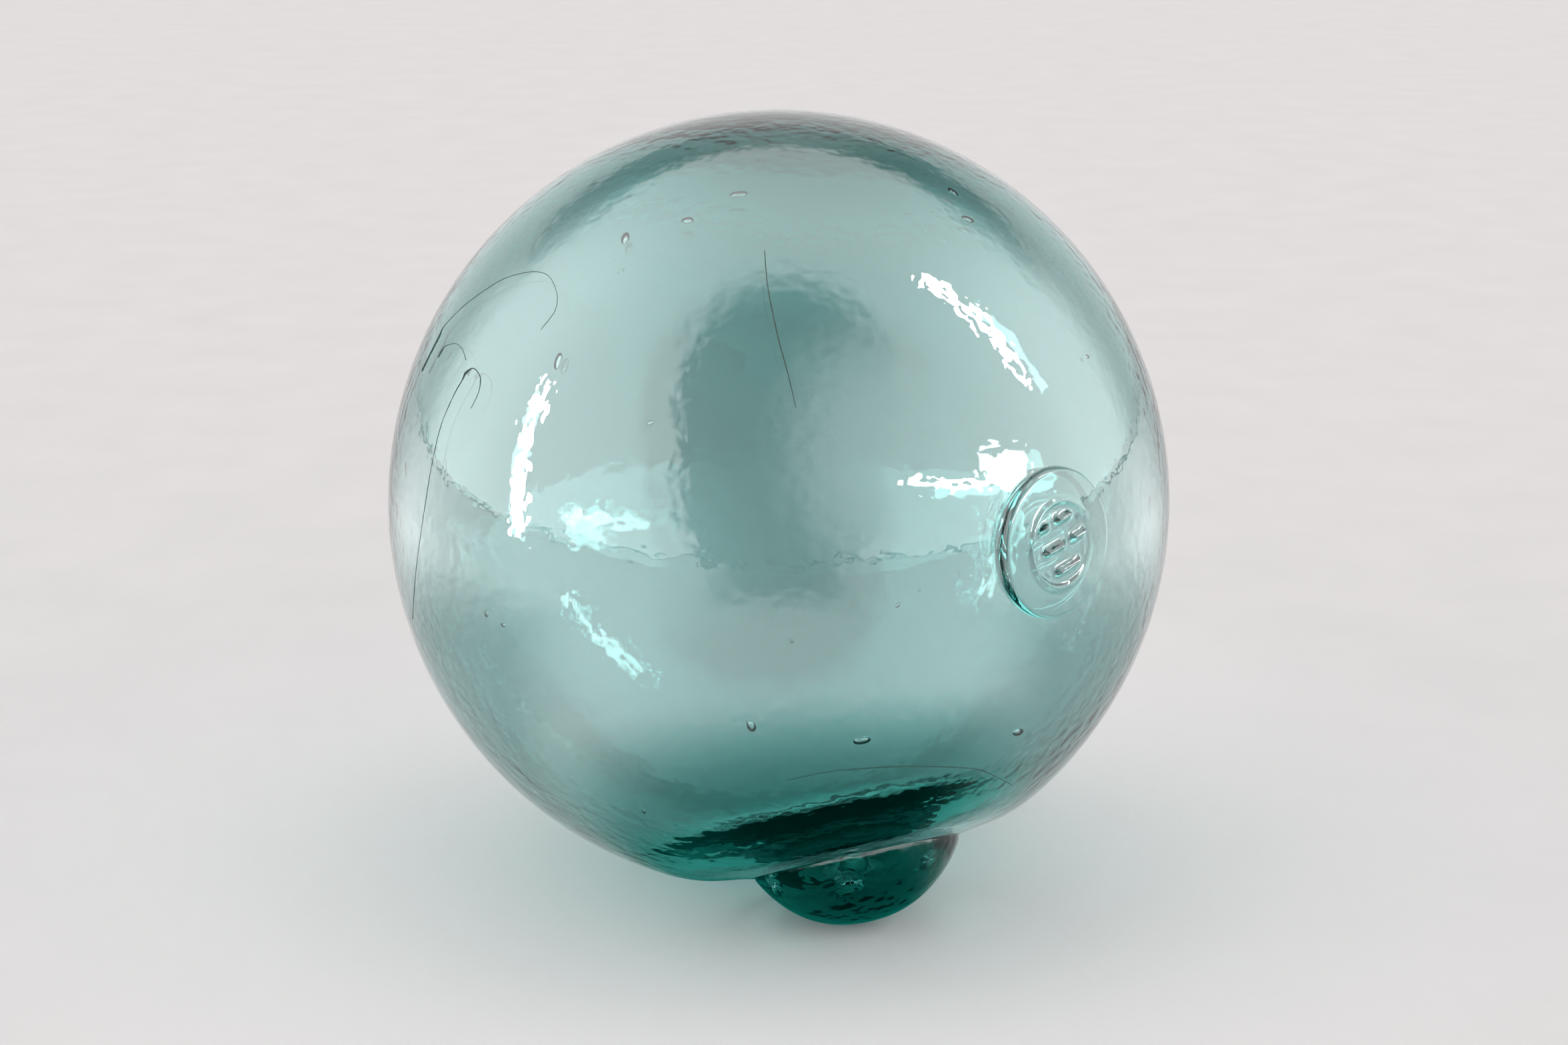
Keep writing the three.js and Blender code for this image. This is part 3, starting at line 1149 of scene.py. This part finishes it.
@dataclass(frozen=True)
class Room:
    """The light of the room, where a radiance of one is white.

    It is bright all round and dim where a lobe takes light away. Behind the float it is pale near
    the horizon, with a band of dusk above that. Seen plainly, or straight through the glass, it is
    no brighter than the floor. A pair of values is where a smooth step starts and where it ends.
    """

    bright: float = 4.9
    backdrop: float = 0.8
    dim: float = 1.1
    dim_glow: SkyLobe = SkyLobe(46.0, 24.0, 8.0, 48.0, 3.4)
    lobes: tuple = (
        SkyLobe(-1.0, 2.0, 15.0, 25.0, -5.0),
        SkyLobe(0.0, 20.0, 23.0, 31.0, -5.0),
        SkyLobe(1.0, 40.0, 22.0, 32.0, -5.0),
        SkyLobe(3.0, 56.0, 4.0, 32.0, -5.0),
        SkyLobe(180.0, 0.0, 35.0, 85.0, -2.8),
    )
    rear: tuple[float, float] = (0.45, 0.75)
    rear_low: float = 0.95
    rear_low_top: tuple[float, float] = (0.72, 0.62)
    dusk_share: float = 0.7
    dusk_bottom: tuple[float, float] = (0.41, 0.49)
    dusk_top: tuple[float, float] = (0.7, 0.62)
    dusk_aside: tuple[float, float] = (0.02, 0.32)
    dusk_middle: float = 0.3

    def build(self) -> None:
        """Makes the room's light the scene's world."""
        world = bpy.data.worlds.new("room")
        bpy.context.scene.world = world
        world.use_nodes = True
        tree = world.node_tree
        tree.nodes.clear()
        way = add_node(tree, "ShaderNodeTexCoord").outputs["Generated"]
        lit = self.lit(tree, way)
        parts = add_node(tree, "ShaderNodeSeparateXYZ", None, {"Vector": way}).outputs
        rear = add_node(tree, "ShaderNodeMapRange", SMOOTH, span(parts["Y"], self.rear)).outputs[0]
        below = add_node(tree, "ShaderNodeMapRange", SMOOTH, span(parts["Z"], self.rear_low_top))
        low = add_node(tree, "ShaderNodeMath", {"operation": "MULTIPLY"}, {0: rear, 1: below.outputs[0]})
        lit = add_node(tree, "ShaderNodeMix", {"data_type": "FLOAT"},
                       {0: low.outputs[0], 2: lit, 3: self.rear_low}).outputs[0]
        level = add_node(tree, "ShaderNodeMath", {"operation": "MULTIPLY"},
                         {0: lit, 1: self.dusk(tree, parts["X"], parts["Z"], rear)}).outputs[0]
        path = add_node(tree, "ShaderNodeLightPath").outputs
        depth = add_node(tree, "ShaderNodeMath", {"operation": "ADD"},
                         {0: path["Glossy Depth"], 1: path["Diffuse Depth"]})
        lights = add_node(tree, "ShaderNodeMath", {"operation": "GREATER_THAN"},
                          {0: depth.outputs[0], 1: 0.5})
        plain = add_node(tree, "ShaderNodeMath", {"operation": "MINIMUM"}, {0: level, 1: self.backdrop})
        shown = add_node(tree, "ShaderNodeMix", {"data_type": "FLOAT"},
                         {0: lights.outputs[0], 2: plain.outputs[0], 3: level})
        sky = add_node(tree, "ShaderNodeBackground", None,
                       {"Color": srgb("#ffffff"), "Strength": shown.outputs[0]})
        add_node(tree, "ShaderNodeOutputWorld", None, {"Surface": sky.outputs[0]})

    def lit(self, tree: bpy.types.NodeTree, way: bpy.types.NodeSocket) -> bpy.types.NodeSocket:
        """Adds the bright light less the dark lobes, or the dim light where that is more.

        Args:
            tree: the room's node tree.
            way: the direction looked in.

        Returns:
            The radiance.
        """
        total = self.bright
        for lobe in self.lobes:
            total = add_node(tree, "ShaderNodeMath", {"operation": "ADD"},
                             {0: lobe.build(tree, way), 1: total}).outputs[0]
        dimmest = add_node(tree, "ShaderNodeMath", {"operation": "ADD"},
                           {0: self.dim_glow.build(tree, way), 1: self.dim})
        return add_node(tree, "ShaderNodeMath", {"operation": "MAXIMUM"},
                        {0: total, 1: dimmest.outputs[0]}).outputs[0]

    def dusk(self, tree: bpy.types.NodeTree, x: bpy.types.NodeSocket, z: bpy.types.NodeSocket,
             rear: bpy.types.NodeSocket) -> bpy.types.NodeSocket:
        """Adds the band of dusk behind the float: a step up times a step down, weaker in the middle.

        Args:
            tree: the room's node tree.
            x: the direction's X.
            z: its Z.
            rear: how far behind the float the direction is, from 0 to 1.

        Returns:
            The share of light that is left.
        """
        across = add_node(tree, "ShaderNodeMath", {"operation": "ABSOLUTE"}, {0: x}).outputs[0]
        steps = (span(z, self.dusk_bottom), span(z, self.dusk_top),
                 span(across, self.dusk_aside, self.dusk_middle))
        band = rear
        for step in steps:
            share = add_node(tree, "ShaderNodeMapRange", SMOOTH, step)
            band = add_node(tree, "ShaderNodeMath", {"operation": "MULTIPLY"},
                            {0: band, 1: share.outputs[0]}).outputs[0]
        return add_node(tree, "ShaderNodeMapRange", None,
                        span(band, (0.0, 1.0), 1.0, 1.0 - self.dusk_share)).outputs[0]


@dataclass(frozen=True)
class GlintLight:
    """A lamp placed so that the ball's front shows its reflection from one pixel to another."""

    name: str
    start_px: tuple[float, float]
    end_px: tuple[float, float]
    width_px: float
    radiance: float


class SeenBy(Enum):
    """The rays that meet a sheet of the studio."""

    ALL = "every ray"
    MIRRORED = "rays that the glass mirrors"
    THROUGH = "rays that have passed through the glass"


@dataclass
class Studio:
    """The pale floor, the room around it and the lamps that the glass mirrors."""

    form: FloatForm
    camera: CameraSetup
    floor_half: float = 3.0
    floor_drop: float = 0.00005
    card: MattCard = field(default_factory=MattCard)
    tabletop: LitTabletop = field(default_factory=LitTabletop)
    gauze: GreyGauze = field(default_factory=GreyGauze)
    room: Room = field(default_factory=Room)
    lamp_distance: float = 0.9
    lamps: tuple = (
        GlintLight("left_strip", (833, 576), (790, 826), 22, 40.0),
        GlintLight("upper_strip", (1376, 426), (1535, 576), 20, 40.0),
        GlintLight("window", (1462, 708), (1536, 704), 50, 13.0),
        GlintLight("low_bar", (1350, 724), (1540, 730), 14, 34.0),
    )

    def mirror_way(self, px: tuple[float, float]) -> np.ndarray:
        """The direction that the ball's front mirrors to the camera at a pixel.

        Args:
            px: the pixel.

        Returns:
            The unit direction.
        """
        spot = np.array([px], float)
        ray = self.camera.ray(spot, self.form.radius)[0]
        normal = self.camera.on_ball(spot, self.form.centre, self.form.radius)[0]
        return ray - 2 * (ray @ normal) * normal

    def lamp(self, glint: GlintLight) -> bpy.types.Object:
        """Makes one lamp: a rectangle of light facing the ball between two mirrored directions.

        Args:
            glint: where its reflection shows, and how bright.

        Returns:
            The lamp, which the camera doesn't see directly.
        """
        start, end = (self.form.centre + self.mirror_way(px) * self.lamp_distance
                      for px in (glint.start_px, glint.end_px))
        middle = (start + end) / 2
        length = float(np.linalg.norm(end - start))
        width = 2 * glint.width_px / self.camera.ball_radius_px * self.lamp_distance
        data = bpy.data.lights.new(glint.name, "AREA")
        data.shape = "RECTANGLE"
        data.size, data.size_y = length, width
        data.energy = glint.radiance * math.pi * length * width
        lamp = bpy.data.objects.new(glint.name, data)
        bpy.context.scene.collection.objects.link(lamp)
        back = unit(middle - self.form.centre)
        along = end - start
        along = unit(along - (along @ back) * back)
        lamp.matrix_world = placement(along, np.cross(back, along), back, middle)
        lamp.visible_camera = lamp.visible_diffuse = False
        return lamp

    def sheet(self, name: str, material: bpy.types.Material, half: float, height: float,
              seen_by: SeenBy) -> bpy.types.Object:
        """Makes a level square sheet around the float.

        Args:
            name: its name.
            material: its finish.
            half: half its side.
            height: how high it lies, where the ground is zero.
            seen_by: the rays that meet it.

        Returns:
            The sheet.
        """
        corners = [(-half, -half), (half, -half), (half, half), (-half, half)]
        mesh = bpy.data.meshes.new(name)
        mesh.from_pydata([(x, y, height) for x, y in corners], [], [(0, 1, 2, 3)])
        mesh.materials.append(material)
        made = bpy.data.objects.new(name, mesh)
        bpy.context.scene.collection.objects.link(made)
        if seen_by is not SeenBy.ALL:
            made.visible_camera = made.visible_diffuse = made.visible_shadow = False
            made.visible_glossy = seen_by is SeenBy.MIRRORED
            made.visible_transmission = seen_by is SeenBy.THROUGH
        return made

    def build(self) -> None:
        """Makes the floor, the room and the lamps, and lets light bounce often enough in the glass."""
        drop = self.floor_drop
        self.sheet("studio_floor", self.card.build(), self.floor_half, -drop, SeenBy.ALL)
        # Painted light and shade: a glowing sheet that only the glass's mirror shows, and a dimming sheet
        # with a glowing middle that only rays through the glass meet.
        self.sheet("light_pool", self.tabletop.build(), self.tabletop.edge[0], drop, SeenBy.MIRRORED)
        self.sheet("soft_shade", self.gauze.build(), self.gauze.reach[0], -drop / 2, SeenBy.THROUGH)
        self.room.build()
        for glint in self.lamps:
            self.lamp(glint)
        scene = bpy.context.scene
        scene.view_settings.view_transform = "Standard"
        scene.cycles.max_bounces = 14
        scene.cycles.glossy_bounces = 12
        scene.cycles.transmission_bounces = 14
        scene.cycles.diffuse_bounces = 1
        scene.cycles.blur_glossy = 0.0


def main() -> None:
    """Builds the float and its studio in order."""
    logging.basicConfig(level=logging.INFO, format="%(message)s")
    low, high = (np.array(corner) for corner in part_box("ball"))
    radius = float(min(high[0] - low[0], high[1] - low[1])) / 2
    form = FloatForm(radius=radius, centre_height=float(high[2]) - radius)
    camera = CameraSetup()
    camera.build(form.centre, form.radius)
    body = GlassBody(form, camera).build(ClearGlass().build())
    threads = Threads(form, camera).build(ThreadGlass().build())
    for piece in (body, threads):
        log.info("%s: %d faces", piece.name, len(piece.data.polygons))
    Studio(form, camera).build()


if __name__ == "__main__":
    main()
